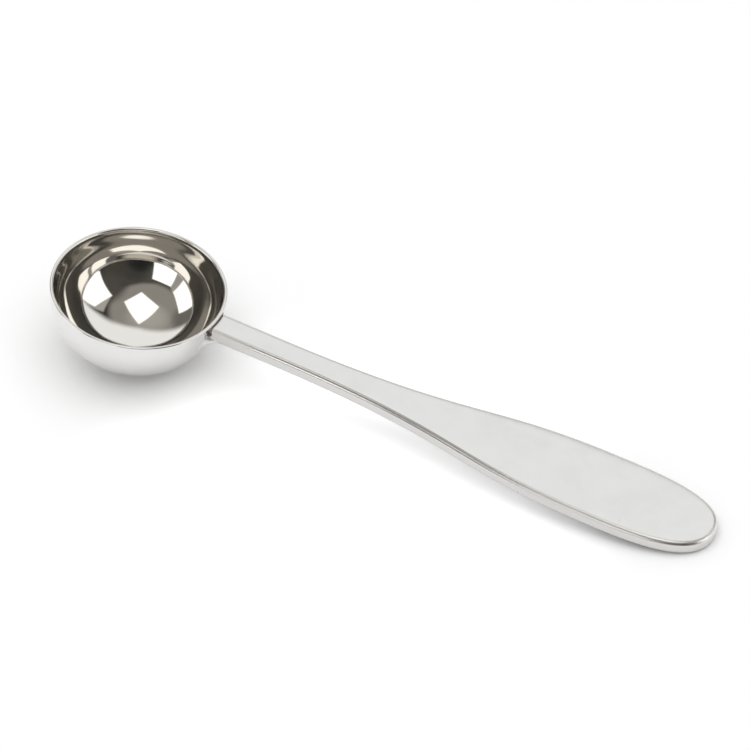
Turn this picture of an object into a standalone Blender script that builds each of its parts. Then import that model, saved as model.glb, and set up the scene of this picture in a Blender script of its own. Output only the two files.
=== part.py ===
"""Measuring spoon in polished stainless steel, modelled in metres with +Z up.

Three pieces make the spoon: a deep round bowl pressed from thin sheet, a flat plate
handle whose root is coped to the bowl's wall, and the weld that joins the two from
below and from both sides. The rim, the handle's plane and the weld are drawn in the
spoon's own frame, with its origin at the centre of the rim, +X along the handle and
+Z out of the bowl. An empty then lays that frame down as the spoon lies on a table,
on the bottom of the bowl and the end of the handle. The world's origin is on the
table, below the middle of the spoon's length.
"""

import math

import bmesh
import bpy

MM = 0.001

BOWL_DIAMETER = 38.0 * MM
BOWL_DEPTH = 17.4 * MM
BOWL_WALL = 0.9 * MM
BOWL_FULLNESS = 2.2
SHEET_THICKNESS = 0.8 * MM

HANDLE_THICKNESS = 3.0 * MM
HANDLE_DROP = 0.35 * MM
HANDLE_EDGE_RADIUS = 0.8 * MM
NECK_LENGTH = 13.7 * MM
NECK_WIDTH = 6.5 * MM
SWELL_LENGTH = 76.0 * MM
GRIP_WIDTH = 20.0 * MM
END_LENGTH = 27.2 * MM

SWELL_EASE_AT_NECK = 0.60
SWELL_EASE_AT_GRIP = 0.40
END_EASE_AT_GRIP = 0.33
END_EASE_AT_TIP = 1.08

WELD_LEG = 2.2 * MM
WELD_DEPTH_BELOW_RIM = 1.5 * MM
JOINT_GAP = 0.3 * MM

BOWL_STEPS = 96
PROFILE_STEPS = 22
LIP_STEPS = 6
OUTLINE_STEPS = 20
EDGE_SEGMENTS = 5
MERGE_DISTANCE = 0.01 * MM
FLAT_ANGLE = math.radians(0.05)
CUTTER_MARGIN = 4.0 * MM

BOWL_RADIUS = BOWL_DIAMETER / 2
NECK_START = BOWL_RADIUS + JOINT_GAP
SWELL_START = NECK_START + NECK_LENGTH
GRIP_STATION = SWELL_START + SWELL_LENGTH
HANDLE_REACH = GRIP_STATION + END_LENGTH
EDGE_RADIUS = min(HANDLE_EDGE_RADIUS, 0.45 * HANDLE_THICKNESS)


def clear_scene():
    """Removes every object that the file opened with."""
    for obj in list(bpy.data.objects):
        bpy.data.objects.remove(obj, do_unlink=True)


def make_collection(name):
    """Adds a collection to the scene and returns it."""
    collection = bpy.data.collections.new(name)
    bpy.context.scene.collection.children.link(collection)
    return collection


def make_steel(name, colour, roughness):
    """Returns a metal material with a plain colour and roughness."""
    material = bpy.data.materials.new(name)
    material.use_nodes = True
    shader = material.node_tree.nodes["Principled BSDF"]
    shader.inputs["Base Color"].default_value = (*colour, 1.0)
    shader.inputs["Metallic"].default_value = 1.0
    shader.inputs["Roughness"].default_value = roughness
    return material


def add_object(name, mesh, collection, parent):
    """Places a mesh in a collection, carried by a parent."""
    obj = bpy.data.objects.new(name, mesh)
    collection.objects.link(obj)
    obj.parent = parent
    return obj


def smooth(obj, angle=math.radians(30)):
    """Shades an object smooth except across its sharp edges."""
    obj.data.shade_smooth()
    obj.data.set_sharp_from_angle(angle=angle)


def hide_cutter(obj):
    """Marks an object as a cutter, shown as wire and never rendered."""
    obj.hide_render = True
    obj.display_type = "WIRE"


def cut_away(obj, cutter):
    """Cuts the space that a cutter fills out of an object."""
    modifier = obj.modifiers.new(f"clear_of_{cutter.name}", "BOOLEAN")
    modifier.object = cutter
    modifier.operation = "DIFFERENCE"
    modifier.solver = "EXACT"


def cup_point(turn, radius, depth):
    """Point of the cup's profile: turn 0 ends the straight wall, turn pi/2 is the bottom.

    Below the wall the profile is a superellipse, a little fuller than a ball's.
    """
    power = 2 / BOWL_FULLNESS
    across = radius * max(math.cos(turn), 0.0) ** power
    down = (depth - BOWL_WALL) * math.sin(turn) ** power
    return across, -BOWL_WALL - down


def cup_reach(across, down):
    """How far the bowl's outer profile reaches in the direction (across, down)."""
    power = BOWL_FULLNESS / (BOWL_FULLNESS - 1)
    round_depth = BOWL_DEPTH - BOWL_WALL
    total = (BOWL_RADIUS * across) ** power + (round_depth * down) ** power
    return BOWL_WALL * down + total ** (1 / power)


def tip_reach_down(tilt):
    """How far the handle's tip reaches below the rim's centre at a given tilt."""
    along = (HANDLE_REACH - EDGE_RADIUS) * math.sin(tilt)
    below = (HANDLE_DROP + HANDLE_THICKNESS - EDGE_RADIUS) * math.cos(tilt)
    return along + below + EDGE_RADIUS


def resting_tilt():
    """Angle at which the bowl's bottom and the handle's tip both touch the table."""
    low, high = 0.0, math.radians(60)
    for _ in range(60):
        middle = (low + high) / 2
        if cup_reach(math.sin(middle), math.cos(middle)) > tip_reach_down(middle):
            low = middle
        else:
            high = middle
    return (low + high) / 2


def make_rest_frame(collection):
    """Empty that lays the spoon's own frame down on the table."""
    tilt = resting_tilt()
    rim_height = cup_reach(math.sin(tilt), math.cos(tilt))
    back = -cup_reach(math.cos(tilt), math.sin(tilt))
    front = (
        (HANDLE_REACH - EDGE_RADIUS) * math.cos(tilt)
        - (HANDLE_DROP + EDGE_RADIUS) * math.sin(tilt)
        + EDGE_RADIUS
    )
    empty = bpy.data.objects.new("rest_frame", None)
    collection.objects.link(empty)
    empty.location = (-(back + front) / 2, 0.0, rim_height)
    empty.rotation_euler = (0.0, tilt, 0.0)
    return empty


def profile_mesh(name, points):
    """Mesh with one chain of edges through points of the XZ plane."""
    mesh = bpy.data.meshes.new(name)
    vertices = [(across, 0.0, height) for across, height in points]
    edges = [(index, index + 1) for index in range(len(points) - 1)]
    mesh.from_pydata(vertices, edges, [])
    return mesh


def add_turning(obj):
    """Turns an object's profile round the bowl's axis."""
    screw = obj.modifiers.new("turning", "SCREW")
    screw.axis = "Z"
    screw.steps = BOWL_STEPS
    screw.render_steps = BOWL_STEPS
    screw.use_merge_vertices = True
    screw.merge_threshold = MERGE_DISTANCE


def cup_wall(radius, depth):
    """Points down a cup's wall, from the end of its straight part to the bottom."""
    turns = [math.pi / 2 * step / PROFILE_STEPS for step in range(PROFILE_STEPS + 1)]
    return [cup_point(turn, radius, depth) for turn in turns]


def bowl_profile():
    """Profile of the bowl's sheet: up the inside, over the lip and down the outside."""
    half_sheet = SHEET_THICKNESS / 2
    middle_of_sheet = BOWL_RADIUS - half_sheet
    outside = cup_wall(BOWL_RADIUS, BOWL_DEPTH)
    inside = cup_wall(BOWL_RADIUS - SHEET_THICKNESS, BOWL_DEPTH - SHEET_THICKNESS)
    lip = [
        (
            middle_of_sheet - half_sheet * math.cos(math.pi * step / LIP_STEPS),
            half_sheet * math.sin(math.pi * step / LIP_STEPS) - half_sheet,
        )
        for step in range(LIP_STEPS + 1)
    ]
    below_lip = -half_sheet - MERGE_DISTANCE
    inside_below = [point for point in reversed(inside) if point[1] < below_lip]
    outside_below = [point for point in outside if point[1] < below_lip]
    return inside_below + lip + outside_below


def build_bowl(collection, parent, material):
    """The pressed bowl, one sheet turned round its axis with a rounded lip."""
    mesh = profile_mesh("bowl", bowl_profile())
    mesh.materials.append(material)
    bowl = add_object("bowl", mesh, collection, parent)
    add_turning(bowl)
    smooth(bowl)
    return bowl


def make_bowl_cutter(collection, parent):
    """The space that the bowl takes, grown by the joint's gap and open above the rim."""
    radius = BOWL_RADIUS + JOINT_GAP
    wall = cup_wall(radius, BOWL_DEPTH + JOINT_GAP)
    points = [(0.0, CUTTER_MARGIN), (radius, CUTTER_MARGIN)] + wall
    cutter = add_object("bowl_space", profile_mesh("bowl_space", points), collection, parent)
    add_turning(cutter)
    hide_cutter(cutter)
    return cutter


def outline_corners(grow):
    """Half of the handle's outline as Bezier points: (point, handle in, handle out)."""
    neck = NECK_WIDTH / 2 + grow
    grip = GRIP_WIDTH / 2 + grow
    tip = HANDLE_REACH + grow
    end_length = tip - GRIP_STATION
    root = NECK_START - CUTTER_MARGIN
    ease_neck = SWELL_EASE_AT_NECK * SWELL_LENGTH
    ease_grip = SWELL_EASE_AT_GRIP * SWELL_LENGTH
    ease_end = END_EASE_AT_GRIP * end_length
    ease_tip = END_EASE_AT_TIP * grip
    neck_third = (SWELL_START - root) / 3
    return [
        ((root, neck), (root, neck), (root + neck_third, neck)),
        ((SWELL_START, neck), (SWELL_START - neck_third, neck), (SWELL_START + ease_neck, neck)),
        ((GRIP_STATION, grip), (GRIP_STATION - ease_grip, grip), (GRIP_STATION + ease_end, grip)),
        ((tip, 0.0), (tip, ease_tip), (tip, -ease_tip)),
    ]


def mirrored(corner):
    """The same outline point on the handle's other side, run the other way."""
    point, handle_in, handle_out = corner
    return tuple((along, -across) for along, across in (point, handle_out, handle_in))


def plate_mesh(name, grow):
    """The handle's plate as a mesh: a filled outline given its thickness."""
    half_outline = outline_corners(grow)
    corners = half_outline + [mirrored(corner) for corner in reversed(half_outline[:-1])]
    curve = bpy.data.curves.new(name, "CURVE")
    curve.dimensions = "2D"
    curve.fill_mode = "BOTH"
    curve.resolution_u = OUTLINE_STEPS
    curve.render_resolution_u = OUTLINE_STEPS
    curve.extrude = HANDLE_THICKNESS / 2 + grow
    spline = curve.splines.new("BEZIER")
    spline.bezier_points.add(len(corners) - 1)
    spline.use_cyclic_u = True
    for bezier, (point, handle_in, handle_out) in zip(spline.bezier_points, corners):
        bezier.handle_left_type = "FREE"
        bezier.handle_right_type = "FREE"
        bezier.co = (*point, 0.0)
        bezier.handle_left = (*handle_in, 0.0)
        bezier.handle_right = (*handle_out, 0.0)
    flat = bpy.data.objects.new(f"{name}_outline", curve)
    bpy.context.scene.collection.objects.link(flat)
    graph = bpy.context.evaluated_depsgraph_get()
    mesh = bpy.data.meshes.new_from_object(flat.evaluated_get(graph))
    bpy.data.objects.remove(flat, do_unlink=True)
    mesh.name = name
    weld_caps(mesh)
    return mesh


def weld_caps(mesh):
    """Joins the loose caps of a converted curve to its sides and clears flat edges."""
    shape = bmesh.new()
    shape.from_mesh(mesh)
    bmesh.ops.remove_doubles(shape, verts=shape.verts, dist=MERGE_DISTANCE)
    bmesh.ops.dissolve_limit(
        shape, angle_limit=FLAT_ANGLE, verts=shape.verts, edges=shape.edges
    )
    bmesh.ops.recalc_face_normals(shape, faces=shape.faces)
    shape.to_mesh(mesh)
    shape.free()


def round_plate_edges(obj, radius):
    """Rounds the edges all round a plate's two faces."""
    bevel = obj.modifiers.new("rounded_edges", "BEVEL")
    bevel.width = radius
    bevel.segments = EDGE_SEGMENTS
    bevel.limit_method = "ANGLE"
    bevel.angle_limit = math.radians(50)
    bevel.use_clamp_overlap = False


def build_handle(collection, parent, material, bowl_cutter):
    """The flat handle: a plate with rounded edges, coped to the bowl's wall."""
    mesh = plate_mesh("handle", 0.0)
    mesh.materials.append(material)
    handle = add_object("handle", mesh, collection, parent)
    handle.location = (0.0, 0.0, -HANDLE_DROP - HANDLE_THICKNESS / 2)
    round_plate_edges(handle, EDGE_RADIUS)
    cut_away(handle, bowl_cutter)
    smooth(handle)
    return handle


def make_handle_cutter(collection, parent):
    """The space that the handle takes, grown by the joint's gap."""
    cutter = add_object("handle_space", plate_mesh("handle_space", JOINT_GAP), collection, parent)
    cutter.location = (0.0, 0.0, -HANDLE_DROP - HANDLE_THICKNESS / 2)
    round_plate_edges(cutter, EDGE_RADIUS + JOINT_GAP)
    hide_cutter(cutter)
    return cutter


def weld_section(along, spread):
    """Section of the weld across the handle: the handle's own section, grown by spread.

    It runs down one side, round the lower corner, along the underside and up the
    other side, with its corners concentric with the handle's rounded edges.
    """
    top = -WELD_DEPTH_BELOW_RIM
    radius = EDGE_RADIUS + spread
    corner_across = NECK_WIDTH / 2 - EDGE_RADIUS
    corner_height = -HANDLE_DROP - HANDLE_THICKNESS + EDGE_RADIUS
    turns = [math.pi / 2 * step / EDGE_SEGMENTS for step in range(EDGE_SEGMENTS + 1)]
    side = [(corner_across + radius, top)] + [
        (corner_across + radius * math.cos(turn), corner_height - radius * math.sin(turn))
        for turn in turns
    ]
    other_side = [(-across, height) for across, height in reversed(side)]
    return [(along, across, height) for across, height in side + other_side]


def weld_mesh():
    """Loft from a wide section at the bowl's wall to a narrow one along the handle."""
    wall_at_neck = math.sqrt(BOWL_RADIUS**2 - (NECK_WIDTH / 2) ** 2)
    thin_edge = 2 * JOINT_GAP
    sections = [
        weld_section(wall_at_neck - CUTTER_MARGIN, WELD_LEG),
        weld_section(wall_at_neck, WELD_LEG),
        weld_section(wall_at_neck + WELD_LEG - thin_edge, thin_edge),
    ]
    shape = bmesh.new()
    rings = [[shape.verts.new(point) for point in section] for section in sections]
    for ring, following in zip(rings, rings[1:]):
        for index, vertex in enumerate(ring):
            after = (index + 1) % len(ring)
            shape.faces.new((vertex, ring[after], following[after], following[index]))
    shape.faces.new(rings[0])
    shape.faces.new(rings[-1])
    bmesh.ops.recalc_face_normals(shape, faces=shape.faces)
    mesh = bpy.data.meshes.new("weld")
    shape.to_mesh(mesh)
    shape.free()
    return mesh


def build_weld(collection, parent, material, bowl_cutter, handle_cutter):
    """The weld, which wraps the handle's root below and at both sides."""
    mesh = weld_mesh()
    mesh.materials.append(material)
    weld = add_object("weld", mesh, collection, parent)
    cut_away(weld, bowl_cutter)
    cut_away(weld, handle_cutter)
    smooth(weld)
    return weld


def build_spoon():
    """Builds the three pieces and lays the spoon down as it rests on a table."""
    clear_scene()
    parts = make_collection("measuring_spoon")
    cutters = make_collection("cutters")
    rest_frame = make_rest_frame(parts)
    bowl_steel = make_steel("bowl_steel", (0.80, 0.79, 0.77), 0.06)
    handle_steel = make_steel("handle_steel", (0.82, 0.82, 0.81), 0.12)
    weld_steel = make_steel("weld_steel", (0.74, 0.73, 0.71), 0.25)
    bowl_cutter = make_bowl_cutter(cutters, rest_frame)
    handle_cutter = make_handle_cutter(cutters, rest_frame)
    build_bowl(parts, rest_frame, bowl_steel)
    build_handle(parts, rest_frame, handle_steel, bowl_cutter)
    build_weld(parts, rest_frame, weld_steel, bowl_cutter, handle_cutter)


if __name__ == "__main__":
    build_spoon()
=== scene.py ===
"""Looks of a polished steel measuring spoon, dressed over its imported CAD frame.

The spoon is drawn in its own frame: the origin is the centre of the bowl's rim, +X runs
along the handle, +Y to its left and +Z out of the bowl. RestFrame lays that frame down on
the table. Each piece is a class that holds its sizes, works its surface out as arrays of
points and gives it a finish. The studio classes make the table, the softboxes, the
surroundings that the steel mirrors, and the camera. All lengths are in metres.
"""

import logging
import math
from collections.abc import Iterable
from dataclasses import dataclass, field
from enum import Enum
from functools import reduce
from typing import Any

import bmesh
import bpy
import numpy as np
from mathutils import Matrix, Vector


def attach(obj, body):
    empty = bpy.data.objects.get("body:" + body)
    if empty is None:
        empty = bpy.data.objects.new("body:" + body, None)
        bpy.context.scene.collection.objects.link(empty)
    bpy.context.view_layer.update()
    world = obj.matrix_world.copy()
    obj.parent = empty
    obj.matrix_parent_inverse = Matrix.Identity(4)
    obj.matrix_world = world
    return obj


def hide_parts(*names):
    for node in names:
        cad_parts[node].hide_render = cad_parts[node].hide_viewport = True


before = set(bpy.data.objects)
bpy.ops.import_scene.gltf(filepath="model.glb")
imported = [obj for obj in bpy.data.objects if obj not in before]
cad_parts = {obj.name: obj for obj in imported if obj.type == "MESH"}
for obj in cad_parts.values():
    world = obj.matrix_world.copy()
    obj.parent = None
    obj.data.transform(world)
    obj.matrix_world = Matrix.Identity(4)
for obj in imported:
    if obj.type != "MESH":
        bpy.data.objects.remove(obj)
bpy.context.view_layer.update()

MM = 0.001
MERGE_DISTANCE = 1e-7
SMALLEST_ANGLE = 1e-9
STEEPEST_TILT = math.radians(60.0)
HALVINGS = 60
STAIN = "stain"
# Mark and tint of painted shade: the inner band below the bowl's lip and the handle's side faces,
# darkened for the dark or shaded things that they mirror.
PAINTED_SHADE = "painted_shade"
PAINTED_SHADE_TINT = (0.56, 0.54, 0.51)
SPECK_TINT = (0.30, 0.28, 0.25)
SPECK_ROUGHNESS = 0.15
WHITE = (1.0, 1.0, 1.0, 1.0)
BLACK = (0.0, 0.0, 0.0, 1.0)
# A Mix node's sockets for colours, by number
MIX_FACTOR, MIX_FIRST, MIX_SECOND, MIX_RESULT = 0, 6, 7, 2

Triple = tuple[float, float, float]
Corners = tuple[tuple[float, float], ...]

log = logging.getLogger("measuring_spoon")


class Grain(Enum):
    """How the polishing marks run on a steel surface."""

    TURNED = "turned"
    LENGTHWISE = "lengthwise"
    NONE = "none"


class Value:
    """A number in a node tree. Python maths on it adds Math nodes."""

    def __init__(self, sheet: "NodeSheet", socket: bpy.types.NodeSocket) -> None:
        """Wraps an output socket.

        Args:
            sheet: The node tree's helper, which adds the nodes.
            socket: The output that carries the number.
        """
        self.sheet = sheet
        self.socket = socket

    def maths(self, operation: str, *others: "Value | float") -> "Value":
        """The result of one Math node with this value first."""
        return self.sheet.maths(operation, self, *others)

    def __add__(self, other: "Value | float") -> "Value":
        """This value plus another."""
        return self.maths("ADD", other)

    def __radd__(self, other: "Value | float") -> "Value":
        """A number plus this value."""
        return self.maths("ADD", other)

    def __sub__(self, other: "Value | float") -> "Value":
        """This value less another."""
        return self.maths("SUBTRACT", other)

    def __rsub__(self, other: "Value | float") -> "Value":
        """A number less this value."""
        return self.sheet.maths("SUBTRACT", other, self)

    def __mul__(self, other: "Value | float") -> "Value":
        """This value times another."""
        return self.maths("MULTIPLY", other)

    def __rmul__(self, other: "Value | float") -> "Value":
        """A number times this value."""
        return self.maths("MULTIPLY", other)

    def ramp(self, low: float, high: float) -> "Value":
        """Eases from 0 at low to 1 at high, with a flat start and end.

        Args:
            low: The value that gives 0.
            high: The value that gives 1.

        Returns:
            The eased value.
        """
        node = self.sheet.add(
            "ShaderNodeMapRange",
            {"interpolation_type": "SMOOTHSTEP"},
            {"Value": self, "From Min": low, "From Max": high},
        )
        return Value(self.sheet, node.outputs["Result"])


class NodeSheet:
    """Adds nodes to one node tree and links them."""

    def __init__(self, tree: bpy.types.NodeTree) -> None:
        """Starts on a node tree, which is emptied.

        Args:
            tree: The node tree of a material, light or world.
        """
        self.tree = tree
        tree.nodes.clear()

    def add(
        self,
        kind: str,
        settings: dict[str, Any] | None = None,
        inputs: dict[str | int, Any] | None = None,
    ) -> bpy.types.Node:
        """Adds one node.

        Args:
            kind: The node's type.
            settings: Its properties, which are set before the inputs.
            inputs: Its sockets by name or number, each a number, a colour, a vector, an
                output socket or a Value.

        Returns:
            The node.
        """
        node = self.tree.nodes.new(kind)
        for name, value in (settings or {}).items():
            setattr(node, name, value)
        for name, value in (inputs or {}).items():
            socket = node.inputs[name]
            source = value.socket if isinstance(value, Value) else value
            if isinstance(source, bpy.types.NodeSocket):
                self.tree.links.new(source, socket)
            else:
                socket.default_value = source
        return node

    def maths(self, operation: str, *values: Value | float) -> Value:
        """The result of one Math node, with its inputs in order."""
        node = self.add("ShaderNodeMath", {"operation": operation}, dict(enumerate(values)))
        return Value(self, node.outputs["Value"])

    def mix(self, factor: Value | float, first: Any, second: Any) -> bpy.types.NodeSocket:
        """Two colours or colour sockets mixed: factor 0 gives the first, 1 the second."""
        inputs = {MIX_FACTOR: factor, MIX_FIRST: first, MIX_SECOND: second}
        return self.add("ShaderNodeMix", {"data_type": "RGBA"}, inputs).outputs[MIX_RESULT]

    def noise(self, vector: Any, scale: float, detail: float) -> Value:
        """A noise from 0 to 1 with so many lumps in a metre and so many finer layers."""
        inputs = {"Vector": vector, "Scale": scale, "Detail": detail}
        return Value(self, self.add("ShaderNodeTexNoise", None, inputs).outputs["Fac"])

    def parts(self, vector: Any) -> tuple[Value, ...]:
        """The three coordinates of a vector."""
        node = self.add("ShaderNodeSeparateXYZ", None, {"Vector": vector})
        return tuple(Value(self, output) for output in node.outputs)

    def vector_maths(self, operation: str, *inputs: Any) -> bpy.types.Node:
        """A Vector Math node, with its inputs in order."""
        return self.add("ShaderNodeVectorMath", {"operation": operation}, dict(enumerate(inputs)))

    def dot(self, vector: Any, direction: Triple) -> Value:
        """How far a vector points along a direction of length 1."""
        return Value(self, self.vector_maths("DOT_PRODUCT", vector, direction).outputs["Value"])

    def mark(self, name: str) -> Value:
        """The marks of one name that a piece's mesh carries."""
        node = self.add("ShaderNodeAttribute", {"attribute_name": name})
        return Value(self, node.outputs["Fac"])


def lowest(values: Iterable[Value]) -> Value:
    """The lowest of several values."""
    return reduce(lambda low, value: low.maths("MINIMUM", value), values)


def from_axis(along: Value, across: Value) -> Value:
    """Distance from the bowl's axis: the root of the sum of the two squares."""
    return (along * along + across * across).maths("SQRT")


def colour(red: float, green: float, blue: float) -> tuple[float, float, float, float]:
    """A colour with full opacity."""
    return red, green, blue, 1.0


@dataclass(frozen=True)
class JointSoilAndPitShade:
    """Dark residue in the open joint between the bowl's wall and the handle's root, and painted
    shade in its pits.

    The residue fills the groove across the top. A small pit beside each end of it is tinted near
    black: painted shade for the hollow there.
    """

    tint: Triple = (0.50, 0.46, 0.43)
    pit_painted_shade_tint: Triple = (0.13, 0.10, 0.09)
    roughness: float = 0.45
    dullness: float = 0.75
    bowl_side: float = 18.7 * MM
    root_side: float = 19.55 * MM
    half_width: float = 3.2 * MM
    top: float = -0.33 * MM
    floor: float = -1.9 * MM
    blur: float = 0.15 * MM
    pit: Triple = (18.98 * MM, 3.35 * MM, -1.35 * MM)
    pit_reach: Triple = (0.60 * MM, 0.5 * MM, 0.85 * MM)
    pit_core: float = 0.55
    pit_rim: float = 1.3

    def masks(self, sheet: NodeSheet, local: bpy.types.NodeSocket) -> tuple[Value, Value]:
        """Where the residue and the pits' painted shade lie.

        The groove is what lies within six limits, each eased over the blur. A pit is an
        ellipsoid: the squares of the offsets from its middle, each over its reach, add up
        to less than its core's share inside and to more than its rim's share outside.

        Args:
            sheet: The material's nodes.
            local: The coordinates in the spoon's own frame.

        Returns:
            The groove's mask and the mask of the pits' painted shade, from 0 to 1.
        """
        along, across, height = sheet.parts(local)
        side = across.maths("ABSOLUTE")
        radius = from_axis(along, across)
        limits = (
            (radius, self.bowl_side, 1.0),
            (radius, self.root_side, -1.0),
            (side, self.half_width, -1.0),
            (height, self.top, -1.0),
            (height, self.floor, 1.0),
            (along, 0.0, 1.0),
        )
        groove = lowest(
            ((value - limit) * way).ramp(-self.blur, self.blur) for value, limit, way in limits
        )
        offsets = zip((along, side, height), self.pit, self.pit_reach)
        first, second, third = ((value - middle) * (1.0 / size) for value, middle, size in offsets)
        total = first * first + second * second + third * third
        return groove, 1.0 - total.ramp(self.pit_core, self.pit_rim)


@dataclass(frozen=True)
class SteelFinish:
    """Polished stainless steel with faint clouds, wipe marks and polishing lines, plus painted
    shade in marked places.
    """

    name: str
    tint: Triple
    cloud_tint: Triple
    roughness: float
    roughness_spread: float
    cloud_size: float
    wave_size: float
    wave_height: float
    grain: Grain
    metallic: float = 1.0
    grain_height: float = 0.0
    stain_tint: Triple | None = None
    stain_roughness: float = 0.0
    speck_spacing: float = 0.0
    speck_size: float = 0.0
    speck_depth: float = 0.0
    cloud_range: tuple[float, float] = (0.35, 0.7)
    cloud_detail: float = 3.0
    wipes_in_cloud: float = 3.7
    wipe_detail: float = 4.0
    wave_detail: float = 1.0
    speck_core: float = 0.3
    speck_range: tuple[float, float] = (0.6, 0.95)
    grain_lines: float = 9000.0
    grain_line_detail: float = 2.0
    grain_stretch: Triple = (0.03, 1.0, 1.0)
    grain_rings: float = 5000.0
    grain_ring_detail: float = 1.0

    def material(self, rest: "RestFrame") -> bpy.types.Material:
        """Makes the finish as a material.

        Args:
            rest: Where the spoon's own frame lies, for the direction of the grain.

        Returns:
            The material.
        """
        made = bpy.data.materials.new(self.name)
        made.use_nodes = True
        sheet = NodeSheet(made.node_tree)
        place = sheet.add("ShaderNodeTexCoord").outputs["Object"]
        local = sheet.add(
            "ShaderNodeMapping",
            {"vector_type": "TEXTURE"},
            {"Vector": place, "Location": rest.origin, "Rotation": (0.0, rest.tilt, 0.0)},
        ).outputs["Vector"]
        clouds = sheet.noise(place, 1.0 / self.cloud_size, self.cloud_detail)
        clouds = clouds.ramp(*self.cloud_range)
        wipes = sheet.noise(place, self.wipes_in_cloud / self.cloud_size, self.wipe_detail)
        tinted = sheet.mix(clouds, colour(*self.tint), colour(*self.cloud_tint))
        roughness = wipes * self.roughness_spread + (self.roughness - self.roughness_spread / 2)
        if self.stain_tint is not None:
            stain = sheet.mark(STAIN)
            tinted = sheet.mix(stain, tinted, colour(*self.stain_tint))
            roughness = roughness + stain * self.stain_roughness
            # Painted shade: darkens the band below the bowl's lip and the handle's side faces.
            tinted = sheet.mix(sheet.mark(PAINTED_SHADE), tinted, colour(*PAINTED_SHADE_TINT))
        joint = JointSoilAndPitShade()
        groove, pit = joint.masks(sheet, local)
        tinted = sheet.mix(groove, tinted, colour(*joint.tint))
        # Painted shade: the pits are tinted near black, for the shade inside the hollows.
        tinted = sheet.mix(pit, tinted, colour(*joint.pit_painted_shade_tint))
        soil_and_pit_shade = groove.maths("MAXIMUM", pit)
        roughness = roughness + soil_and_pit_shade * joint.roughness
        if self.speck_spacing > 0.0:
            specks = self.specks(sheet, place)
            tinted = sheet.mix(specks * self.speck_depth, tinted, colour(*SPECK_TINT))
            roughness = roughness + specks * SPECK_ROUGHNESS
        shader = sheet.add(
            "ShaderNodeBsdfPrincipled",
            None,
            {
                "Base Color": tinted,
                "Metallic": self.metallic - soil_and_pit_shade * joint.dullness,
                "Specular IOR Level": 0.0,
                "Roughness": roughness,
                "Normal": self.relief(sheet, place, local),
            },
        )
        sheet.add("ShaderNodeOutputMaterial", None, {"Surface": shader.outputs[0]})
        return made

    def specks(self, sheet: NodeSheet, place: bpy.types.NodeSocket) -> Value:
        """Small sparse pits, as polishing leaves: round dots in about a third of the cells.

        Args:
            sheet: The material's nodes.
            place: The object coordinates.

        Returns:
            The mask, 1 in the middle of a pit.
        """
        cells = sheet.add(
            "ShaderNodeTexVoronoi",
            None,
            {"Vector": place, "Scale": 1.0 / self.speck_spacing, "Randomness": 1.0},
        )
        size = self.speck_size / self.speck_spacing
        near = 1.0 - Value(sheet, cells.outputs["Distance"]).ramp(self.speck_core * size, size)
        parts = sheet.add("ShaderNodeSeparateColor", None, {"Color": cells.outputs["Color"]})
        return near * Value(sheet, parts.outputs[0]).ramp(*self.speck_range)

    def relief(
        self, sheet: NodeSheet, place: bpy.types.NodeSocket, local: bpy.types.NodeSocket
    ) -> bpy.types.NodeSocket:
        """Slow waves in the surface, with the polishing lines on them.

        Args:
            sheet: The material's nodes.
            place: The object coordinates.
            local: The coordinates in the spoon's own frame.

        Returns:
            The normals that the waves and lines bend.
        """
        waves = sheet.noise(place, 1.0 / self.wave_size, self.wave_detail)
        height = waves * self.wave_height
        if self.grain is not Grain.NONE:
            height = height + self.grain_pattern(sheet, local) * self.grain_height
        bump = sheet.add("ShaderNodeBump", None, {"Distance": 1.0, "Height": height})
        return bump.outputs["Normal"]

    def grain_pattern(self, sheet: NodeSheet, local: bpy.types.NodeSocket) -> Value:
        """Fine lines, drawn out along the handle or round the bowl's axis.

        Args:
            sheet: The material's nodes.
            local: The coordinates in the spoon's own frame.

        Returns:
            The lines, from 0 to 1.
        """
        if self.grain is Grain.LENGTHWISE:
            lines = sheet.vector_maths("MULTIPLY", local, self.grain_stretch)
            return sheet.noise(
                lines.outputs["Vector"], self.grain_lines, self.grain_line_detail
            )
        along, across, height = sheet.parts(local)
        radius = from_axis(along, across)
        rings = sheet.add(
            "ShaderNodeCombineXYZ", None, {"X": radius, "Y": height, "Z": 0.0}
        ).outputs["Vector"]
        return sheet.noise(rings, self.grain_rings, self.grain_ring_detail)


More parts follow.
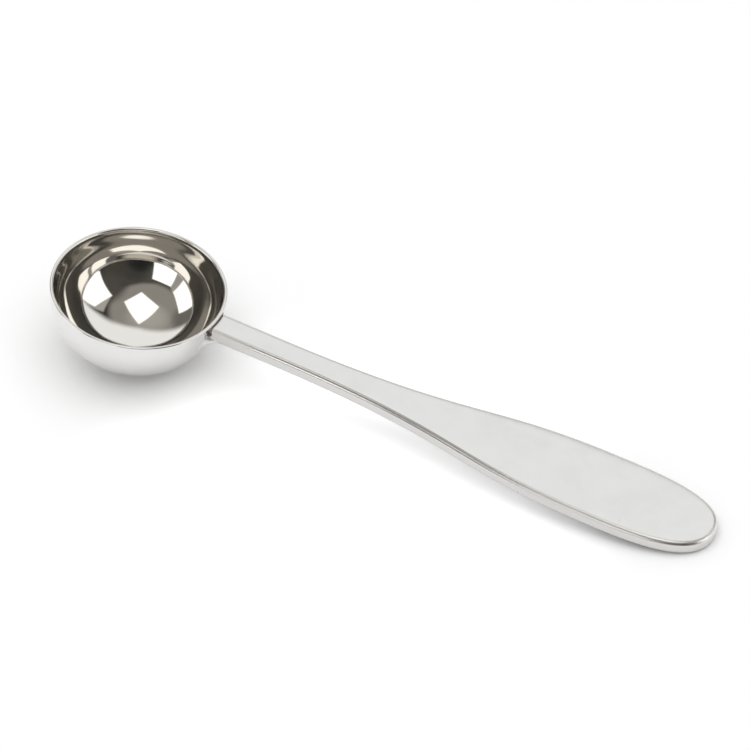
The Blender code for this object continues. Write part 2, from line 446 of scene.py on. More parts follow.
@dataclass(frozen=True)
class SpoonSizes:
    """The sizes that the CAD model's source gives the spoon."""

    bowl_radius: float = 19.0 * MM
    bowl_depth: float = 17.4 * MM
    bowl_wall: float = 0.9 * MM
    bowl_fullness: float = 2.2
    sheet: float = 0.8 * MM
    handle_thickness: float = 3.0 * MM
    handle_drop: float = 0.35 * MM
    edge_radius: float = 0.8 * MM
    joint_gap: float = 0.3 * MM
    neck_length: float = 13.7 * MM
    neck_width: float = 6.5 * MM
    swell_length: float = 76.0 * MM
    grip_width: float = 20.0 * MM
    end_length: float = 27.2 * MM

    @property
    def swell_start(self) -> float:
        """Station along the handle where the neck ends."""
        return self.bowl_radius + self.joint_gap + self.neck_length

    @property
    def grip_station(self) -> float:
        """Station along the handle where the grip is widest."""
        return self.swell_start + self.swell_length

    @property
    def reach(self) -> float:
        """Station of the handle's tip."""
        return self.grip_station + self.end_length

    def cup_reach(self, across: float, down: float) -> float:
        """How far the bowl's outside reaches in a direction, from the rim's centre.

        The support of a superellipse of power n is the sum of the two half-axes' shares
        raised to n/(n-1), to the inverse power; the straight wall adds its own share.

        Args:
            across: The direction's share along the rim's plane.
            down: The direction's share down the bowl's axis.

        Returns:
            The reach.
        """
        power = self.bowl_fullness / (self.bowl_fullness - 1.0)
        depth = self.bowl_depth - self.bowl_wall
        total = (self.bowl_radius * across) ** power + (depth * down) ** power
        return self.bowl_wall * down + total ** (1.0 / power)

    def tip_reach(self, tilt: float) -> float:
        """How far the handle's tip reaches below the rim's centre at a tilt.

        The lowest edge is round, so its reach is that of its centre plus its radius.

        Args:
            tilt: How far the handle's tip leans down, in radians.

        Returns:
            The reach.
        """
        along = (self.reach - self.edge_radius) * math.sin(tilt)
        below = self.handle_drop + self.handle_thickness - self.edge_radius
        return along + below * math.cos(tilt) + self.edge_radius


@dataclass(frozen=True)
class RestFrame:
    """Where the spoon's own frame lies: turned by a tilt about +Y, then moved."""

    tilt: float
    origin: Triple

    @classmethod
    def lay_down(cls, sizes: SpoonSizes) -> "RestFrame":
        """Finds the tilt at which the bowl's bottom and the handle's tip both touch.

        The more the handle leans down, the lower its tip reaches next to the bowl, so the
        interval that holds the tilt is halved again and again.

        Args:
            sizes: The spoon's sizes.

        Returns:
            The frame, with the world's origin below the middle of the spoon's length.
        """
        low, high = 0.0, STEEPEST_TILT
        for _ in range(HALVINGS):
            tilt = (low + high) / 2
            bowl_is_lower = sizes.cup_reach(math.sin(tilt), math.cos(tilt)) > sizes.tip_reach(tilt)
            low, high = (tilt, high) if bowl_is_lower else (low, tilt)
        back = -sizes.cup_reach(math.cos(tilt), math.sin(tilt))
        front = (
            (sizes.reach - sizes.edge_radius) * math.cos(tilt)
            - (sizes.handle_drop + sizes.edge_radius) * math.sin(tilt)
            + sizes.edge_radius
        )
        height = sizes.cup_reach(math.sin(tilt), math.cos(tilt))
        return cls(tilt, (-(back + front) / 2, 0.0, height))

    def place(self, points: np.ndarray) -> np.ndarray:
        """Takes points from the spoon's own frame to the world.

        Args:
            points: Any array of points, with the coordinates last.

        Returns:
            The points in the world.
        """
        cosine, sine = math.cos(self.tilt), math.sin(self.tilt)
        turn = np.array([[cosine, 0.0, sine], [0.0, 1.0, 0.0], [-sine, 0.0, cosine]])
        return points @ turn.T + np.array(self.origin)


def grid_faces(rows: int, columns: int) -> np.ndarray:
    """Quads of a grid of points whose rows are loops.

    Args:
        rows: The number of rows.
        columns: The number of points in a row.

    Returns:
        Four point numbers for each quad.
    """
    row, column = np.meshgrid(np.arange(rows - 1), np.arange(columns), indexing="ij")
    following = (column + 1) % columns
    corners = (
        row * columns + column,
        row * columns + following,
        (row + 1) * columns + following,
        (row + 1) * columns + column,
    )
    return np.stack(corners, axis=-1).reshape(-1, 4)


def put_in_scene(name: str, data: bpy.types.ID) -> bpy.types.Object:
    """Makes an object and links it to the scene.

    Args:
        name: The object's name.
        data: Its mesh, light or camera.

    Returns:
        The object.
    """
    made = bpy.data.objects.new(name, data)
    bpy.context.scene.collection.objects.link(made)
    return made


def closed_piece(
    name: str,
    points: np.ndarray,
    finish: bpy.types.Material,
    sharp_angle: float,
    marks: dict[str, np.ndarray] | None = None,
) -> bpy.types.Object:
    """Makes a closed piece from a grid whose rows are loops.

    Points that fall together, as at a pole or a seam, are merged, then the normals are
    turned outwards.

    Args:
        name: The piece's name.
        points: The grid in the world, rows by columns by three.
        finish: The piece's material.
        sharp_angle: Edges that bend more than this stay sharp.
        marks: The named marks that the finish reads, a number from 0 to 1 for each point.

    Returns:
        The piece, at the origin with its place in its mesh.
    """
    mesh = bpy.data.meshes.new(name)
    faces = grid_faces(points.shape[0], points.shape[1])
    mesh.from_pydata(points.reshape(-1, 3).tolist(), [], faces.tolist())
    for mark, values in (marks or {}).items():
        layer = mesh.attributes.new(mark, "FLOAT", "POINT")
        layer.data.foreach_set("value", values.astype(np.float32).ravel())
    shape = bmesh.new()
    shape.from_mesh(mesh)
    bmesh.ops.remove_doubles(shape, verts=shape.verts, dist=MERGE_DISTANCE)
    bmesh.ops.recalc_face_normals(shape, faces=shape.faces)
    shape.to_mesh(mesh)
    shape.free()
    mesh.shade_smooth()
    mesh.set_sharp_from_angle(angle=sharp_angle)
    mesh.materials.append(finish)
    return put_in_scene(name, mesh)


def even_steps(points: np.ndarray, count: int) -> np.ndarray:
    """Spreads points evenly along a line drawn through closely spaced ones.

    Each coordinate is read off at even steps of the length that the line has run.

    Args:
        points: The line's points, in order.
        count: How many points are wanted.

    Returns:
        The evenly spread points, with the same first and last.
    """
    steps = np.linalg.norm(np.diff(points, axis=0), axis=1)
    length = np.concatenate([[0.0], np.cumsum(steps)])
    wanted = np.linspace(0.0, length[-1], count)
    columns = [np.interp(wanted, length, column) for column in points.T]
    return np.stack(columns, 1)


@dataclass(frozen=True)
class WallShape:
    """One side of the bowl's sheet, as a profile to turn round the axis.

    The wall may stand back from the plain curve by a small amount that changes smoothly
    with depth.
    """

    radius: float
    straight: float
    round_depth: float
    fullness: float
    back_depths: tuple[float, ...] = (0.0, 1.0)
    back: tuple[float, ...] = (0.0, 0.0)
    round_steps: int = 4000
    straight_steps: int = 200

    def set_back(self, depth: np.ndarray) -> np.ndarray:
        """How far the wall stands back at each depth: a natural cubic spline.

        The bends at the knots solve one linear system, in which each inner knot balances
        the slopes on its two sides.

        Args:
            depth: Depths below the rim.

        Returns:
            The distances. Beyond the end knots they stay as they are there.
        """
        knots, values = np.array(self.back_depths), np.array(self.back)
        gap = np.diff(knots)
        slope = np.diff(values) / gap
        system = np.diag(np.concatenate([[1.0], 2.0 * (gap[:-1] + gap[1:]), [1.0]]))
        system += np.diag(np.concatenate([gap[:-1], [0.0]]), -1)
        system += np.diag(np.concatenate([[0.0], gap[1:]]), 1)
        bend = np.linalg.solve(system, np.concatenate([[0.0], 6.0 * np.diff(slope), [0.0]]))
        place = np.clip(depth, knots[0], knots[-1])
        low = np.clip(np.searchsorted(knots, place) - 1, 0, len(gap) - 1)
        step, span = place - knots[low], gap[low]
        first = slope[low] - span * (2.0 * bend[low] + bend[low + 1]) / 6.0
        third = (bend[low + 1] - bend[low]) / (6.0 * span)
        return values[low] + step * (first + step * (bend[low] / 2.0 + step * third))

    def points(self, top: float, count: int) -> np.ndarray:
        """Profile from the bottom up to the lip.

        Below the straight wall it is a superellipse: the distance from the axis and the
        depth below the wall, each over its half-axis and raised to the fullness, add up
        to one.

        Args:
            top: The depth at which the lip takes over.
            count: How many points are wanted.

        Returns:
            Points as distance from the axis and height, evenly spread.
        """
        turn = np.linspace(np.pi / 2, 0.0, self.round_steps)
        power = 2.0 / self.fullness
        across = self.radius * np.clip(np.cos(turn), 0.0, 1.0) ** power
        depth = self.straight + self.round_depth * np.sin(turn) ** power
        wall = np.linspace(self.straight, top, self.straight_steps)[1:]
        across = np.concatenate([across, np.full(len(wall), self.radius)])
        depth = np.concatenate([depth, wall])
        across = across + self.set_back(depth)
        across[0] = 0.0
        return even_steps(np.stack([across, -depth], 1), count)


@dataclass
class Bowl:
    """The pressed bowl: its sheet's profile turned round the axis."""

    sizes: SpoonSizes
    turns: int = 288
    wall_points: int = 110
    lip_points: int = 14
    outer_lip_radius: float = 0.22 * MM
    inner_straight: float = 0.695 * MM
    inner_round_depth: float = 15.99 * MM
    inner_fullness: float = 2.188
    inner_back_depths: tuple[float, ...] = (
        0.35 * MM, 0.7 * MM, 1.0 * MM, 1.5 * MM, 2.2 * MM,
        3.0 * MM, 3.8 * MM, 6.0 * MM, 9.0 * MM, 12.5 * MM,
    )
    inner_back: tuple[float, ...] = (
        0.0789 * MM, 0.1548 * MM, 0.2315 * MM, 0.2478 * MM, 0.1971 * MM,
        0.147 * MM, 0.1382 * MM, 0.1893 * MM, 0.0762 * MM, 0.0,
    )
    # Depths of the inner band below the lip that is darkened: painted shade for the dark
    # reflections there.
    painted_shade_band: tuple[float, float, float, float] = (0.45 * MM, 0.7 * MM, 1.5 * MM, 1.9 * MM)
    bead_radius: float = 0.36 * MM
    bead_repeats: int = 20
    skin: float = 0.012 * MM
    top_skin: float = 0.02 * MM
    sharp_angle: float = math.radians(30.0)

    def lip(self, inner: WallShape) -> np.ndarray:
        """Profile of the lip, from the inner wall over the top to the outer wall.

        The inner side is a bead, part of a circle that stands a little proud of the inner
        wall and curls back to meet it. The angle at which it meets the wall depends on
        the wall's own place there, so it is found by repeating. The outer side is a
        smaller quarter of a circle.

        Args:
            inner: The inner wall.

        Returns:
            Points as distance from the axis and height.
        """
        bead, small = self.bead_radius, self.outer_lip_radius
        curl = 0.0
        for _ in range(self.bead_repeats):
            depth = self.top_skin + bead * (1.0 + math.sin(curl))
            back = float(inner.set_back(np.array([depth]))[0])
            curl = math.acos(1.0 - back / bead)
        turn = np.linspace(np.pi + curl, np.pi / 2, self.lip_points)
        inside = np.stack([bead * (1 + np.cos(turn)), bead * (np.sin(turn) - 1)], 1)
        turn = np.linspace(np.pi / 2, 0.0, self.lip_points // 2)
        outside = np.stack([small * (np.cos(turn) - 1), small * (np.sin(turn) - 1)], 1)
        inside += np.array([inner.radius, -self.top_skin])
        outside += np.array([self.sizes.bowl_radius - self.skin, -self.top_skin])
        return np.concatenate([inside, outside])

    def profile(self) -> np.ndarray:
        """Profile of the sheet: up the inside, over the lip and down the outside.

        The outside lies a hair's breadth inside the CAD model's.

        Returns:
            Points as distance from the axis and height.
        """
        inner = WallShape(
            self.sizes.bowl_radius - self.sizes.sheet,
            self.inner_straight,
            self.inner_round_depth,
            self.inner_fullness,
            self.inner_back_depths,
            self.inner_back,
        )
        outer = WallShape(
            self.sizes.bowl_radius - self.skin,
            self.sizes.bowl_wall,
            self.sizes.bowl_depth - self.sizes.bowl_wall,
            self.sizes.bowl_fullness,
        )
        lip = self.lip(inner)
        inside = inner.points(-lip[0, 1], self.wall_points)[:-1]
        outside = outer.points(-lip[-1, 1], self.wall_points)[:-1]
        return np.concatenate([inside, lip, outside[::-1]])

    def build(self, rest: RestFrame, finish: SteelFinish) -> bpy.types.Object:
        """Turns the profile round the bowl's axis and dresses it.

        Args:
            rest: Where the spoon's own frame lies.
            finish: The bowl's steel.

        Returns:
            The piece.
        """
        profile = self.profile()
        angle = np.arange(self.turns) * (2.0 * np.pi / self.turns)
        points = np.empty((len(profile), self.turns, 3))
        points[..., 0] = profile[:, :1] * np.cos(angle)
        points[..., 1] = profile[:, :1] * np.sin(angle)
        points[..., 2] = profile[:, 1:]
        inner = np.arange(len(profile)) < self.wall_points - 1
        # Painted shade: the inner wall just below the lip is darkened, for the dark reflections
        # there.
        painted_shade = np.interp(-profile[:, 1], self.painted_shade_band, (0.0, 1.0, 1.0, 0.0)) * inner
        marks = {
            STAIN: np.repeat(inner.astype(float), self.turns),
            PAINTED_SHADE: np.repeat(painted_shade, self.turns),
        }
        return closed_piece(
            "bowl_polished", rest.place(points), finish.material(rest), self.sharp_angle, marks
        )


@dataclass
class Handle:
    """The plate handle: rounded sections set along its outline, with a fine root face."""

    sizes: SpoonSizes
    groove_width: float = 0.44 * MM
    groove_depth: float = 1.15 * MM
    buried_root: float = 18.55 * MM
    pit_size: float = 0.35 * MM
    skin: float = 0.004 * MM
    top_edge: float = 1.05 * MM
    side_shade: float = 0.45
    neck_start: float = 1.2 * MM
    floor_blur: float = 0.25 * MM
    pit_depth: float = 0.75 * MM
    pit_reach: tuple[float, float] = (0.45 * MM, 0.5 * MM)
    root_middle_share: float = 0.9
    root_middle_rows: int = 16
    root_edge_shares: tuple[float, ...] = (0.94, 0.97, 0.985, 0.995, 1.0)
    neck_shares: tuple[float, ...] = (0.04, 0.12, 0.25, 0.45, 0.7)
    mark_stations: tuple[float, ...] = (
        23.0 * MM, 27.0 * MM, 32.0 * MM, 45.0 * MM, 80.0 * MM, 92.0 * MM, 102.0 * MM,
    )
    mark_shares: tuple[float, ...] = (1.0, 0.6, 0.35, 0.15, 0.12, 0.45, 0.65)
    stations: int = 260
    curve_steps: int = 1500
    flat_points: int = 9
    edge_points: int = 11
    side_points: int = 3
    swell_ease_at_neck: float = 0.60
    swell_ease_at_grip: float = 0.40
    end_ease_at_grip: float = 0.33
    end_ease_at_tip: float = 1.08
    sharp_angle: float = math.radians(40.0)

    def outline(self) -> np.ndarray:
        """Half of the handle's outline, from the neck to the tip.

        A straight neck, a cubic curve that swells to the grip and a second cubic curve
        round the end.

        Returns:
            Points as station and half width, evenly spread.
        """
        neck, grip = self.sizes.neck_width / 2, self.sizes.grip_width / 2
        start, station = self.sizes.swell_start, self.sizes.grip_station
        tip = self.sizes.reach - self.skin
        swell = self.curve(
            (start, neck),
            (start + self.swell_ease_at_neck * self.sizes.swell_length, neck),
            (station - self.swell_ease_at_grip * self.sizes.swell_length, grip),
            (station, grip),
        )
        end = self.curve(
            (station, grip),
            (station + self.end_ease_at_grip * self.sizes.end_length, grip),
            (tip, self.end_ease_at_tip * grip),
            (tip, 0.0),
        )
        first = self.sizes.bowl_radius + self.groove_width + self.neck_start
        return even_steps(np.concatenate([[(first, neck)], swell, end[1:]]), self.stations)

    def curve(self, *corners: tuple[float, float]) -> np.ndarray:
        """A cubic curve through its first and last corner, drawn by the middle two.

        The corners are weighed by the terms of (share + rest) to the third power.

        Args:
            corners: The curve's four corners.

        Returns:
            Closely spaced points.
        """
        share = np.linspace(0.0, 1.0, self.curve_steps)[:, None]
        start, second, third, end = (np.array(corner) for corner in corners)
        rest = 1.0 - share
        early = rest**3 * start + 3 * rest**2 * share * second
        return early + 3 * rest * share**2 * third + share**3 * end

    def half_section(self) -> tuple[np.ndarray, np.ndarray]:
        """Section of one edge: the upper round corner, the flat side and the lower corner.

        Both corners are quarters of circles.

        Returns:
            How far each point is in from the outline, and each point's height.
        """
        upper, lower = self.top_edge, self.sizes.edge_radius
        top = -self.sizes.handle_drop
        bottom = top - self.sizes.handle_thickness
        turn = np.linspace(np.pi / 2, 0.0, self.edge_points)
        inset = 1.0 - np.cos(turn)
        drop = 1.0 - np.sin(turn)
        side = np.linspace(top - upper, bottom + lower, self.side_points + 2)[1:-1]
        insets = np.concatenate([upper * inset, np.zeros(self.side_points), lower * inset[::-1]])
        heights = np.concatenate([top - upper * drop, side, bottom + lower * drop[::-1]])
        return insets, heights

    def section_loops(self, outline: np.ndarray) -> np.ndarray:
        """Closed sections across the handle, one for each outline point.

        A point of a rounded edge stands in from the outline along the outline's own
        normal, so the edge keeps its radius round the handle's end.

        Args:
            outline: Points as station and half width.

        Returns:
            Loops by points by three, in the spoon's own frame.
        """
        slope = np.gradient(outline, axis=0)
        slope[0] = (1.0, 0.0)
        slope[-1] = (0.0, -1.0)
        slope /= np.linalg.norm(slope, axis=1, keepdims=True)
        normal = np.stack([-slope[:, 1], slope[:, 0]], 1)
        insets, heights = self.half_section()
        station = outline[:, :1] - normal[:, :1] * insets
        across = outline[:, 1:] - normal[:, 1:] * insets
        edge = np.stack([station, -across, np.broadcast_to(heights, station.shape)], -1)
        other = edge[:, ::-1] * np.array([1.0, -1.0, 1.0])
        share = np.linspace(0.0, 1.0, self.flat_points + 2)[1:-1, None]
        under = edge[:, -1:, :] * (1.0 - share) + other[:, :1, :] * share
        over = other[:, -1:, :] * (1.0 - share) + edge[:, :1, :] * share
        return np.concatenate([edge, under, other, over], axis=1)

    def root_station(self, across: np.ndarray, height: np.ndarray) -> np.ndarray:
        """Where the root face stands at a point of the section.

        The face follows the bowl's wall at the groove's width down to the groove's floor,
        and below that it runs on into the wall. Beside each end of the groove a small
        hollow bites into it, a bell curve both across and down.

        Args:
            across: The points' places across the handle.
            height: The points' heights.

        Returns:
            The station of the root face at each point.
        """
        floor = -self.sizes.handle_drop - self.groove_depth
        open_part = np.clip((height - floor) / self.floor_blur + 0.5, 0.0, 1.0)
        side = np.abs(across) - self.sizes.neck_width / 2
        level = height + self.sizes.handle_drop + self.pit_depth
        wide, high = self.pit_reach
        pit = np.exp(-((side / wide) ** 2) - (level / high) ** 2)
        face = np.sqrt((self.sizes.bowl_radius + self.groove_width) ** 2 - across**2)
        face = face + self.pit_size * pit
        return self.buried_root + (face - self.buried_root) * open_part

    def root_rows(self, loop: np.ndarray) -> np.ndarray:
        """Rows of points over the root face, from its middle out to its edge.

        Args:
            loop: The first closed section along the handle.

        Returns:
            Rows by points by three.
        """
        inner = np.linspace(0.0, self.root_middle_share, self.root_middle_rows)
        share = np.concatenate([inner, self.root_edge_shares])
        middle = np.array([0.0, 0.0, -self.sizes.handle_drop - self.sizes.handle_thickness / 2])
        rows = middle + (loop - middle) * share[:, None, None]
        rows[..., 0] = self.root_station(rows[..., 1], rows[..., 2])
        return rows

    def build(self, rest: RestFrame, finish: SteelFinish) -> bpy.types.Object:
        """Sets the sections along the outline, closes the root and dresses the plate.

        Args:
            rest: Where the spoon's own frame lies.
            finish: The handle's steel.

        Returns:
            The piece.
        """
        loops = self.section_loops(self.outline())
        root = self.root_rows(loops[0])
        share = np.array(self.neck_shares)[:, None, None]
        between = root[-1] * (1.0 - share) + loops[0] * share
        points = np.concatenate([root, between, loops])
        marks = {STAIN: self.edge_marks(points), PAINTED_SHADE: self.side_painted_shade(len(points))}
        return closed_piece(
            "handle_polished", rest.place(points), finish.material(rest), self.sharp_angle, marks
        )

    def edge_marks(self, points: np.ndarray) -> np.ndarray:
        """Marks the two edges of every section, most beside the weld and at the grip.

        The mark's share runs straight from one station to the next.

        Args:
            points: The surface's points in the spoon's own frame.

        Returns:
            The marks.
        """
        edge = np.ones(2 * self.edge_points + self.side_points)
        edge[[0, -1]] = 0.0
        flat = np.zeros(self.flat_points)
        section = np.concatenate([edge, flat, edge, flat])
        return section * np.interp(points[..., 0], self.mark_stations, self.mark_shares)

    def side_painted_shade(self, rows: int) -> np.ndarray:
        """Marks the side faces with painted shade, a shade darker than the top, for the shaded
        table that they mirror.

        Over the upper corner the mark grows with the square of the way down.

        Args:
            rows: The number of sections.

        Returns:
            The marks.
        """
        upper = np.linspace(0.0, 1.0, self.edge_points) ** 2
        edge = np.concatenate([upper, np.ones(self.side_points + self.edge_points)])
        flat = np.zeros(self.flat_points)
        section = np.concatenate([edge, flat, edge[::-1], flat])
        return np.tile(section * self.side_shade, (rows, 1))


@dataclass
class Weld:
    """The weld: a hollow fillet that wraps the handle's root at both sides and below."""

    sizes: SpoonSizes
    leg: float = 3.3 * MM
    top_leg: float = 0.12 * MM
    top_depth: float = 1.75 * MM
    overlap: float = 0.2 * MM
    fade_share: float = 0.35
    ripple: float = 0.03 * MM
    ripples: float = 26.0
    path_points: int = 120
    corner_steps: int = 200
    hollow_points: int = 18
    sharp_angle: float = math.radians(50.0)

    def path(self) -> tuple[np.ndarray, np.ndarray]:
        """Line round the handle's root: down one side, below and up the other side.

        Its corners are quarters of circles, as the plate's edges are there.

        Returns:
            Points as place across and height, and the outward normal at each.
        """
        radius = self.sizes.edge_radius
        half = self.sizes.neck_width / 2
        bottom = -self.sizes.handle_drop - self.sizes.handle_thickness
        turn = np.linspace(0.0, np.pi / 2, self.corner_steps)
        corner = np.stack(
            [radius - half - radius * np.cos(turn), bottom + radius - radius * np.sin(turn)], 1
        )
        start = np.array([[-half, -self.top_depth]])
        side = np.concatenate([start, corner, [[0.0, bottom]]])
        line = np.concatenate([side, side[-2::-1] * np.array([-1.0, 1.0])])
        points = even_steps(line, self.path_points)
        slope = np.gradient(points, axis=0)
        slope /= np.linalg.norm(slope, axis=1, keepdims=True)
        return points, np.stack([slope[:, 1], -slope[:, 0]], 1)

    def wall_station(self, across: np.ndarray, height: np.ndarray) -> np.ndarray:
        """Station of the bowl's outside at a place across the handle and a height.

        The superellipse gives the bowl's radius at that depth. The station is the root of
        the squared radius less the squared place across.

        Args:
            across: Places across the handle.
            height: Heights, all below the rim.

        Returns:
            The stations.
        """
        fullness = self.sizes.bowl_fullness
        depth = self.sizes.bowl_depth - self.sizes.bowl_wall
        down = np.clip(-height - self.sizes.bowl_wall, 0.0, depth) / depth
        radius = self.sizes.bowl_radius * (1.0 - down**fullness) ** (1.0 / fullness)
        return np.sqrt(np.maximum(radius**2 - across**2, 0.0))

    def legs(self) -> np.ndarray:
        """Width of the fillet along its path, small at both ends.

        It grows by a smooth step over the fade's share of the path, and a sine wave
        ripples it.

        Returns:
            The width at each point of the path.
        """
        share = np.linspace(-1.0, 1.0, self.path_points)
        fade = np.clip((1.0 - np.abs(share)) / self.fade_share, 0.0, 1.0)
        fade = fade * fade * (3.0 - 2.0 * fade)
        leg = self.top_leg + (self.leg - self.top_leg) * fade
        return leg + self.ripple * np.sin(share * self.ripples * np.pi)

    def sections(self) -> np.ndarray:
        """Closed sections along the path.

        A section's visible side is a quarter of a circle, hollow, from the bowl's wall to
        the handle's face. The other sides lie a little inside the two walls.

        Returns:
            Sections by points by three, in the spoon's own frame.
        """
        points, normal = self.path()
        leg = self.legs()[:, None]
        turn = np.linspace(0.0, np.pi / 2, self.hollow_points)
        hollow = np.zeros(self.hollow_points)
        away = np.concatenate([1.0 - np.sin(turn), [0.0, 0.0, 1.0]])
        along = np.concatenate([1.0 - np.cos(turn), [1.0, 0.0, 0.0]])
        away_extra = np.concatenate([hollow, [-1.0, -1.0, 0.0]]) * self.overlap
        along_extra = np.concatenate([hollow, [0.0, -1.0, -1.0]]) * self.overlap
        grow = leg * away + away_extra
        forward = leg * along + along_extra
        across = points[:, :1] + normal[:, :1] * grow
        height = points[:, 1:] + normal[:, 1:] * grow
        return np.stack([self.wall_station(across, height) + forward, across, height], -1)

    def build(self, rest: RestFrame, finish: SteelFinish) -> bpy.types.Object:
        """Joins the sections, closes both ends and dresses the fillet.

        Each end is closed by a fan of faces round the middle of its section.

        Args:
            rest: Where the spoon's own frame lies.
            finish: The weld's steel.

        Returns:
            The piece.
        """
        sections = self.sections()
        middles = np.repeat(sections.mean(axis=1, keepdims=True), sections.shape[1], axis=1)
        points = np.concatenate([middles[:1], sections, middles[-1:]])
        return closed_piece(
            "weld_fillet", rest.place(points), finish.material(rest), self.sharp_angle
        )


@dataclass(frozen=True)
class SkyMap:
    """Names a direction by two angles from overhead: to the camera's right, and away from it."""

    azimuth: float

    def direction(self, right: float, away: float) -> Vector:
        """The world direction of a point of the map.

        The point's distance from the map's centre is the angle from overhead.

        Args:
            right: Degrees to the camera's right.
            away: Degrees away from the camera.

        Returns:
            The direction, of length 1.
        """
        turn = math.radians(self.azimuth)
        lean = math.radians(math.hypot(right, away))
        share = math.sin(lean) / max(math.hypot(right, away), SMALLEST_ANGLE)
        across = right * share
        ahead = away * share
        return Vector(
            (
                across * math.cos(turn) - ahead * math.sin(turn),
                across * math.sin(turn) + ahead * math.cos(turn),
                math.cos(lean),
            )
        )


@dataclass(frozen=True)
class Patch:
    """A part of the surroundings with straight edges and one brightness.

    The corners are points of the sky map, in order round the patch. An edge is numbered
    by its first corner, and may be softer than the others. Softness is in degrees. A
    patch with a lamp share above 0 lights the table as well.
    """

    name: str
    corners: Corners
    radiance: Triple
    softness: float = 1.0
    soft_edges: dict[int, float] = field(default_factory=dict)
    lamp_share: float = 0.0
    lamp_spread: float = 2.4
    lamp_distance: float = 1.5

    def aim(self, sky: SkyMap) -> tuple[list[Vector], Vector]:
        """The directions of the corners, and that of the patch's middle."""
        points = [sky.direction(*corner) for corner in self.corners]
        return points, sum(points, Vector()).normalized()

    def mask(self, sheet: NodeSheet, ray: bpy.types.NodeSocket, sky: SkyMap) -> Value:
        """How much of the patch a ray sees.

        Each edge is a plane through the spoon. The ray's height over the plane is eased
        from 0 outside the edge to 1 inside, and the lowest of these counts.

        Args:
            sheet: The world's nodes.
            ray: The ray's direction.
            sky: The sky map.

        Returns:
            The mask, from 0 to 1.
        """
        points, middle = self.aim(sky)
        edges = []
        for number, (first, second) in enumerate(zip(points, points[1:] + points[:1])):
            normal = first.cross(second).normalized()
            normal = normal if normal.dot(middle) > 0 else -normal
            soft = math.sin(math.radians(self.soft_edges.get(number, self.softness)))
            edges.append(sheet.dot(ray, tuple(normal)).ramp(-soft, soft))
        return lowest(edges)

    def add_lamp(self, sky: SkyMap) -> None:
        """Makes the soft light that this patch casts on the table.

        The lamp is a square in the patch's middle, wider than the patch and as much
        dimmer. Mirror rays skip it, because they see the patch itself.

        Args:
            sky: The sky map.
        """
        points, middle = self.aim(sky)
        fan = zip(points, points[1:] + points[:1])
        areas = ((first - middle).cross(second - middle).length / 2 for first, second in fan)
        side = math.sqrt(sum(areas)) * self.lamp_distance
        lamp = bpy.data.lights.new(self.name, "AREA")
        lamp.shape = "SQUARE"
        lamp.size = self.lamp_spread * side
        lamp.energy = self.lamp_share * self.radiance[1] * math.pi * side * side
        box = put_in_scene(self.name, lamp)
        facing = middle.to_track_quat("Z", "Y").to_matrix().to_4x4()
        box.matrix_world = Matrix.Translation(middle * self.lamp_distance) @ facing
        box.visible_camera = False
        box.visible_glossy = False


@dataclass(frozen=True)
class SoftPatch:
    """A round part of the surroundings that fades out at its edge, sized in degrees."""

    name: str
    centre: tuple[float, float]
    radius: float
    softness: float
    radiance: Triple

    def mask(self, sheet: NodeSheet, ray: bpy.types.NodeSocket, sky: SkyMap) -> Value:
        """How much of the patch a ray sees, by the ray's angle from the patch's centre.

        Args:
            sheet: The world's nodes.
            ray: The ray's direction.
            sky: The sky map.

        Returns:
            The mask, from 0 to 1.
        """
        facing = sheet.dot(ray, tuple(sky.direction(*self.centre)))
        outer = math.cos(math.radians(self.radius + self.softness))
        inner = math.cos(math.radians(max(self.radius - self.softness, 0.0)))
        return facing.ramp(outer, inner)


@dataclass(frozen=True)
class Surroundings:
    """The studio as the steel mirrors it: patches laid over a dark room."""

    patches: tuple[Patch | SoftPatch, ...]
    room: Triple = (0.028, 0.026, 0.023)
    fill: float = 0.565

    def build(self, sky: SkyMap) -> None:
        """Makes the world.

        Camera rays see plain white, mirror rays see the patches, and other rays see an
        even fill light.

        Args:
            sky: The sky map.
        """
        world = bpy.data.worlds.new("studio")
        bpy.context.scene.world = world
        world.use_nodes = True
        sheet = NodeSheet(world.node_tree)
        ray = sheet.add("ShaderNodeTexCoord").outputs["Generated"]
        path = sheet.add("ShaderNodeLightPath")
        seen = colour(*self.room)
        for patch in self.patches:
            log.info("surroundings: %s", patch.name)
            seen = sheet.mix(patch.mask(sheet, ray, sky), seen, colour(*patch.radiance))
        even = colour(self.fill, self.fill, self.fill)
        seen = sheet.mix(path.outputs["Is Glossy Ray"], even, seen)
        seen = sheet.mix(path.outputs["Is Camera Ray"], seen, WHITE)
        light = sheet.add("ShaderNodeBackground", None, {"Color": seen, "Strength": 1.0})
        sheet.add("ShaderNodeOutputWorld", None, {"Surface": light.outputs[0]})


